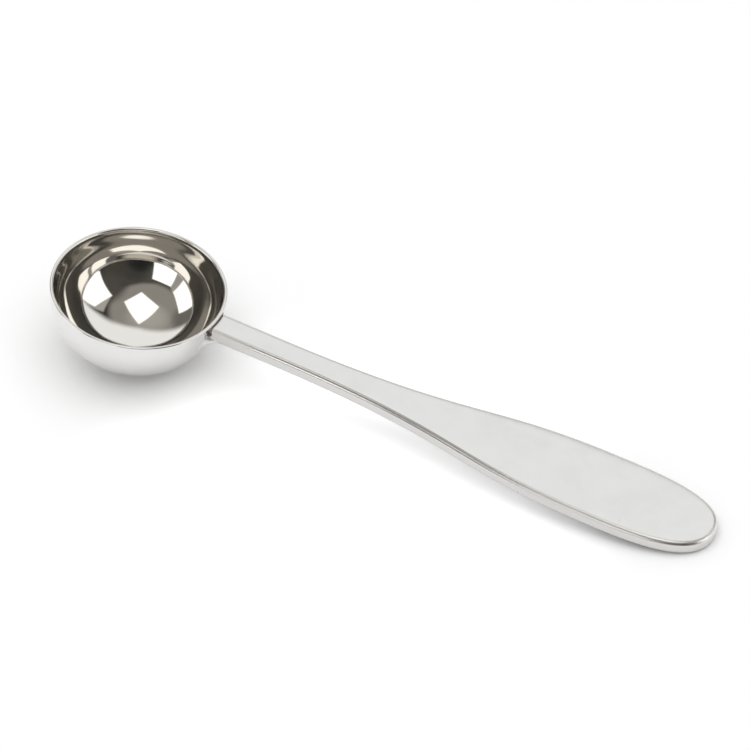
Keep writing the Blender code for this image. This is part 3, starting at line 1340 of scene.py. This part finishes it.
@dataclass(frozen=True)
class Table:
    """A plain white table top that keeps the spoon's shadow."""

    radius: float = 5.0
    white: float = 0.94
    roughness: float = 0.7
    mirror_glow: float = 0.01
    far_glow: float = 0.5
    pool_glow: float = 0.34
    pool_middle: Triple = (3.2 * MM, -22.0 * MM, 0.0)
    pool_inner: float = 30.0 * MM
    pool_outer: float = 65.0 * MM
    glow_inner: float = 0.3
    glow_outer: float = 2.5
    rim_points: int = 96
    below: float = 0.01 * MM

    def build(self) -> None:
        """Makes the table top as a flat disc, a hair below the spoon.

        The camera and mirror rays see a little glow added far from the spoon, where the
        softboxes no longer reach, so that the white stays even. A faint pool of glow
        in front of the handle's middle thins its shadow there.
        """
        turn = np.arange(self.rim_points) * (2.0 * np.pi / self.rim_points)
        ring = np.stack([np.cos(turn), np.sin(turn), np.zeros_like(turn)], 1) * self.radius
        ring[:, 2] = -self.below
        mesh = bpy.data.meshes.new("table_top")
        mesh.from_pydata(ring.tolist(), [], [list(range(len(ring)))])
        mesh.materials.append(self.material())
        put_in_scene("table_top", mesh)

    def material(self) -> bpy.types.Material:
        """Makes the table's matt white.

        Returns:
            The material.
        """
        made = bpy.data.materials.new("table_white")
        made.use_nodes = True
        sheet = NodeSheet(made.node_tree)
        place = sheet.add("ShaderNodeTexCoord").outputs["Object"]
        length = sheet.vector_maths("LENGTH", place)
        away = Value(sheet, length.outputs["Value"]).ramp(self.glow_inner, self.glow_outer)
        path = sheet.add("ShaderNodeLightPath")
        camera = Value(sheet, path.outputs["Is Camera Ray"])
        mirror = Value(sheet, path.outputs["Is Glossy Ray"])
        offset = sheet.vector_maths("DISTANCE", place, self.pool_middle)
        pool = 1.0 - Value(sheet, offset.outputs["Value"]).ramp(self.pool_inner, self.pool_outer)
        near = camera * pool * self.pool_glow + mirror * self.mirror_glow
        far = (camera + mirror) * self.far_glow
        glow = near + (far - near) * away
        shader = sheet.add(
            "ShaderNodeBsdfPrincipled",
            None,
            {
                "Base Color": colour(self.white, self.white, self.white),
                "Roughness": self.roughness,
                "Specular IOR Level": 0.0,
                "Emission Color": sheet.mix(glow, BLACK, WHITE),
                "Emission Strength": 1.0,
            },
        )
        sheet.add("ShaderNodeOutputMaterial", None, {"Surface": shader.outputs[0]})
        return made


@dataclass(frozen=True)
class ViewPoint:
    """The camera, placed by where it looks back from."""

    location: Triple = (0.458309, -0.891550, 0.896240)
    azimuth: float = 27.2893
    elevation: float = 41.3010
    roll: float = -0.3740
    focal_pixels: float = 6353.2
    image_pixels: float = 750.0
    sensor: float = 36.0
    clip: tuple[float, float] = (0.05, 50.0)

    def build(self) -> None:
        """Makes the camera and sets it as the scene's."""
        turn, rise = math.radians(self.azimuth), math.radians(self.elevation)
        back = Vector(
            (math.sin(turn) * math.cos(rise), -math.cos(turn) * math.cos(rise), math.sin(rise))
        )
        right = Vector((math.cos(turn), math.sin(turn), 0.0))
        up = back.cross(right)
        upright = Matrix((right, up, back)).transposed().to_4x4()
        roll = Matrix.Rotation(math.radians(self.roll), 4, "Z")
        data = bpy.data.cameras.new("photo_camera")
        data.sensor_width = self.sensor
        data.lens = self.focal_pixels / self.image_pixels * self.sensor
        data.clip_start, data.clip_end = self.clip
        camera = put_in_scene("photo_camera", data)
        camera.matrix_world = Matrix.Translation(self.location) @ upright @ roll
        bpy.context.scene.camera = camera


BOWL_STEEL = SteelFinish(
    name="bowl_mirror_steel",
    tint=(0.80, 0.795, 0.78),
    cloud_tint=(0.775, 0.77, 0.755),
    roughness=0.055,
    roughness_spread=0.04,
    stain_tint=(0.815, 0.795, 0.755),
    cloud_size=9.0 * MM,
    wave_size=5.0 * MM,
    wave_height=0.004 * MM,
    metallic=0.99,
    grain=Grain.TURNED,
    grain_height=0.00003 * MM,
)
HANDLE_STEEL = SteelFinish(
    name="handle_polished_steel",
    tint=(0.80, 0.80, 0.797),
    cloud_tint=(0.775, 0.773, 0.767),
    roughness=0.13,
    roughness_spread=0.08,
    cloud_size=7.0 * MM,
    wave_size=6.0 * MM,
    wave_height=0.006 * MM,
    grain=Grain.LENGTHWISE,
    grain_height=0.0001 * MM,
    stain_tint=(0.80, 0.797, 0.79),
    stain_roughness=0.30,
    speck_spacing=5.0 * MM,
    speck_size=0.28 * MM,
    speck_depth=0.45,
)
WELD_STEEL = SteelFinish(
    name="weld_ground_steel",
    tint=(0.79, 0.785, 0.77),
    cloud_tint=(0.74, 0.73, 0.71),
    roughness=0.46,
    roughness_spread=0.10,
    cloud_size=1.6 * MM,
    wave_size=0.9 * MM,
    wave_height=0.008 * MM,
    grain=Grain.NONE,
)
SOFTBOX_LIGHT = (1.50, 1.47, 1.42)
SOFTBOXES = (
    Patch(
        "softbox_above",
        ((3.2, 18.4), (19.2, -12.6), (0.0, -29.8), (-18.2, -6.4)),
        SOFTBOX_LIGHT,
        lamp_share=5.0,
    ),
    Patch(
        "softbox_left",
        ((-39.8, 8.8), (-41.0, -24.0), (-78.0, -38.0), (-89.0, 8.0), (-60.0, 9.2)),
        SOFTBOX_LIGHT,
        lamp_share=0.66,
    ),
    Patch(
        "softbox_front_left",
        ((-40.2, -33.0), (-16.2, -50.2), (-24.0, -74.0), (-62.0, -50.0)),
        SOFTBOX_LIGHT,
    ),
    Patch(
        "softbox_right",
        ((35.0, -18.4), (50.6, 6.4), (72.0, 8.4), (85.0, 6.0), (90.0, -10.0), (64.6, -45.6)),
        SOFTBOX_LIGHT,
    ),
    Patch(
        "window_right",
        ((54.0, 70.0), (51.0, 52.0), (60.0, 34.0), (74.0, 10.0), (90.0, 4.0), (62.0, 66.0)),
        (1.1, 1.1, 1.08),
        softness=4.0,
    ),
)
BACKDROP_WHITE = (0.96, 0.96, 0.955)
BACKDROPS = (
    Patch(
        "backdrop_left",
        (
            (-52.5, 19.5), (-50.0, 22.8), (-40.0, 32.0), (-20.0, 43.4), (0.0, 48.2),
            (20.0, 46.4), (22.0, 20.0), (2.0, 25.2),
        ),
        BACKDROP_WHITE,
        softness=0.8,
        soft_edges={5: 3.0, 6: 4.5, 7: 5.0},
        lamp_share=1.2,
    ),
    Patch(
        "backdrop_right",
        (
            (2.0, 25.2), (0.0, 48.2), (20.0, 46.4), (40.0, 38.2), (60.0, 22.0), (69.0, 9.5),
            (52.0, 12.5), (36.0, 15.5), (20.0, 21.5),
        ),
        BACKDROP_WHITE,
        softness=0.8,
        soft_edges={0: 3.0, 5: 3.0, 6: 4.0, 7: 5.0, 8: 5.0},
    ),
)
BACKGROUND = (
    SoftPatch("far_table", (0.0, 80.0), 37.0, 12.0, (0.66, 0.61, 0.53)),
    SoftPatch("far_white", (6.0, 92.0), 25.0, 4.0, (0.97, 0.96, 0.94)),
    SoftPatch("far_left", (-80.0, 26.0), 22.0, 8.0, (0.75, 0.72, 0.66)),
    Patch(
        "backdrop_shade",
        (
            (-58.0, 16.0), (-52.0, 24.0), (-41.0, 33.6), (-20.6, 44.8), (0.0, 49.4),
            (21.0, 47.8), (42.0, 40.2), (62.5, 23.5), (72.0, 9.5),
        ),
        (0.065, 0.062, 0.055),
        softness=0.8,
        soft_edges={8: 2.0},
    ),
    SoftPatch("room_middle", (8.0, -52.0), 34.0, 10.0, (0.042, 0.039, 0.035)),
    SoftPatch("room_right", (46.0, -62.0), 12.0, 9.0, (0.055, 0.050, 0.042)),
    SoftPatch("ceiling", (-6.0, -4.0), 40.0, 5.0, (0.285, 0.268, 0.245)),
    SoftPatch("ceiling_right", (44.0, -30.0), 16.0, 13.0, (0.075, 0.070, 0.062)),
    SoftPatch("ceiling_edge_left", (-10.0, -58.0), 13.5, 3.5, (0.080, 0.076, 0.068)),
    SoftPatch("ceiling_edge", (14.0, -56.0), 13.5, 3.5, (0.080, 0.076, 0.068)),
    SoftPatch("ceiling_front", (10.0, -62.0), 15.0, 8.0, (0.048, 0.045, 0.040)),
    SoftPatch("room_low", (0.0, -78.0), 13.0, 8.0, (0.014, 0.013, 0.012)),
    SoftPatch("ceiling_far_left", (-46.0, 18.0), 14.0, 8.0, (0.150, 0.144, 0.132)),
    SoftPatch("ceiling_glow", (-6.0, 8.0), 10.0, 16.0, (0.42, 0.405, 0.37)),
    Patch(
        "ceiling_gap_left",
        ((-39.5, -22.0), (-39.5, -33.0), (-62.0, -48.0), (-66.0, -28.0)),
        (0.34, 0.33, 0.31),
    ),
    Patch(
        "ceiling_gap_right",
        ((35.5, -18.0), (38.6, 9.0), (74.0, 11.0), (74.0, -6.0)),
        (0.42, 0.41, 0.38),
        softness=1.5,
    ),
)


def build_spoon(sizes: SpoonSizes, rest: RestFrame) -> list[bpy.types.Object]:
    """Builds and dresses the spoon's pieces, each over the CAD node that it stands for.

    Args:
        sizes: The spoon's sizes.
        rest: Where the spoon's own frame lies.

    Returns:
        The pieces.
    """
    made = (
        (Bowl(sizes).build(rest, BOWL_STEEL), "bowl", "bowl_steel"),
        (Handle(sizes).build(rest, HANDLE_STEEL), "handle", "handle_steel"),
        (Weld(sizes).build(rest, WELD_STEEL), "weld", "weld_steel"),
    )
    for piece, node, slot in made:
        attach(piece, "root")
        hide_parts(node)
    return [piece for piece, _, _ in made]


def build_studio() -> None:
    """Builds the camera, the table, the softboxes and the surroundings."""
    view = ViewPoint()
    view.build()
    Table().build()
    sky = SkyMap(view.azimuth)
    for source in SOFTBOXES + BACKDROPS:
        if source.lamp_share > 0.0:
            source.add_lamp(sky)
            log.info("%s: lamp at %.2f of its radiance", source.name, source.lamp_share)
    Surroundings(BACKGROUND + BACKDROPS + SOFTBOXES).build(sky)
    bpy.context.scene.view_settings.view_transform = "Standard"


def main() -> None:
    """Builds the spoon and its studio, and reports each piece."""
    logging.basicConfig(level=logging.INFO, format="%(message)s")
    sizes = SpoonSizes()
    rest = RestFrame.lay_down(sizes)
    for piece in build_spoon(sizes, rest):
        log.info("%s: %d faces", piece.name, len(piece.data.polygons))
    build_studio()


if __name__ == "__main__":
    main()
